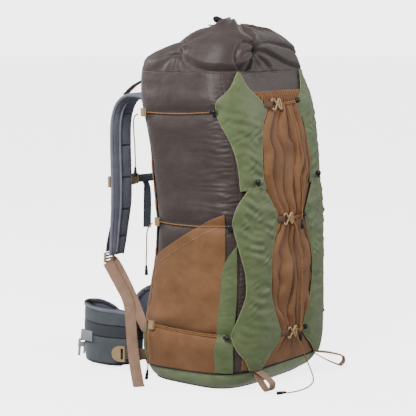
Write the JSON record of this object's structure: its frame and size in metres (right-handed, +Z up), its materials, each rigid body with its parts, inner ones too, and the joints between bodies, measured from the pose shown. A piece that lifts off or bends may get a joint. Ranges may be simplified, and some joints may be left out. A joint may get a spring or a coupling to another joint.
{
  "type": "hunting backpack",
  "caption": "Soft-sided hunting backpack with a roll-down collar, shaped front wings, stretch pockets, compression cords, padded shoulder straps and a split hip belt.",
  "frame": {"origin": "centre of the base footprint, on the surface the pack stands on", "axes": "+Z up along the pack's height, -Y towards the outer front pocket, +Y towards the wearer, +X to the wearer's right when worn"},
  "size_m": [0.5098, 0.598, 0.8102],
  "materials": {
    "dark_nylon": "fine ripstop nylon, coated, soft sheen",
    "green_nylon": "satin-faced nylon, moss green",
    "brown_stretch": "stretch-woven nylon, brown, matt",
    "slate_foam_cloth": "brushed cloth over closed-cell foam",
    "black_piping": "corded piping",
    "plate_plastic": "moulded polyethylene sheet",
    "alloy": "plain alloy",
    "cord_brown": "braided sheath over elastic core",
    "black_plastic": "moulded acetal",
    "pale_plastic": "moulded acetal, pale grey",
    "pale_webbing": "woven webbing, pale grey",
    "tan_plastic": "moulded acetal, tan",
    "brown_webbing": "woven webbing, brown",
    "tan_webbing": "woven webbing, tan",
    "grey_webbing": "woven webbing, dark grey"
  },
  "bodies": {
    "pack": {"base_panel": "green_nylon", "side_panel_left": "dark_nylon", "side_panel_right": "dark_nylon", "front_panel": "dark_nylon", "back_panel": "slate_foam_cloth", "collar": "dark_nylon", "base_piping": "black_piping", "front_pocket": "brown_stretch", "side_pocket_left": "brown_stretch", "side_pocket_right": "brown_stretch", "side_bands": "green_nylon", "front_wing_left": "green_nylon", "front_wing_right": "green_nylon", "frame_sheet": "plate_plastic", "frame_stay": "alloy", "back_pad": "slate_foam_cloth", "lumbar_pad": "slate_foam_cloth", "collar_drawcord": "cord_brown", "cord_lock_body": "black_plastic", "cord_lock_spring": "alloy", "stabiliser_strap_left": "brown_webbing", "stabiliser_strap_right": "brown_webbing", "load_lifters": "tan_webbing", "lower_straps": "tan_webbing", "strap_tail_left": "tan_webbing", "strap_tail_right": "tan_webbing", "haul_loop": "tan_webbing", "tool_loops": "tan_webbing", "line_locs": "tan_plastic", "cord_anchors": "black_plastic", "front_tabs": "brown_webbing", "front_hooks": "tan_plastic", "side_cords": "cord_brown", "front_cords": "cord_brown", "side_tail_left_top": "cord_brown", "side_tail_left_middle": "cord_brown", "side_tail_left_low": "cord_brown", "side_tail_right_top": "cord_brown", "side_tail_right_middle": "cord_brown", "side_tail_right_low": "cord_brown", "front_tail_top": "cord_brown", "front_tail_middle": "cord_brown", "front_tail_low": "cord_brown", "tail_tips": "black_plastic"},
    "hip_left": {"hip_wing_left": "slate_foam_cloth", "hip_webbing_left": "pale_webbing", "hip_buckle_plug": "pale_plastic", "stabiliser_ring_left": "tan_plastic"},
    "hip_right": {"hip_wing_right": "slate_foam_cloth", "hip_webbing_right": "pale_webbing", "hip_buckle_socket": "pale_plastic", "stabiliser_ring_right": "tan_plastic"},
    "harness": {"shoulder_strap_left": "slate_foam_cloth", "shoulder_strap_right": "slate_foam_cloth", "shoulder_webbing": "grey_webbing", "ladder_locks": "tan_plastic"},
    "chest_strap": {"chest_sliders": "tan_plastic", "chest_webbing": "grey_webbing", "chest_buckle": "tan_plastic"},
    "lock_button": {"cord_lock_button": "black_plastic"}
  },
  "joints": [
    {"name": "hip_left_swing", "type": "hinge", "parent": "pack", "child": "hip_left", "pos_m": [-0.112, 0.172, 0.07], "axis": [0, 0, 1], "range_deg": [0, 35], "deforming": ["stabiliser_strap_left"]},
    {"name": "hip_right_swing", "type": "hinge", "parent": "pack", "child": "hip_right", "pos_m": [0.112, 0.172, 0.07], "axis": [0, 0, -1], "range_deg": [0, 35], "deforming": ["stabiliser_strap_right"]},
    {"name": "harness_lift", "type": "hinge", "parent": "pack", "child": "harness", "pos_m": [0, 0.19, 0.618], "axis": [1, 0, 0], "range_deg": [0, 25], "deforming": ["lower_straps", "load_lifters", "strap_tail_left", "strap_tail_right"]},
    {"name": "chest_strap_height", "type": "slide", "parent": "harness", "child": "chest_strap", "axis": [0, 0, 1], "range_m": [-0.025, 0.025]},
    {"name": "button_press", "type": "slide", "parent": "pack", "child": "lock_button", "axis": [0, -0.9397, -0.342], "range_m": [0, 0.003], "stiffness_N_per_m": 300, "deforming": ["cord_lock_spring"]}
  ]
}
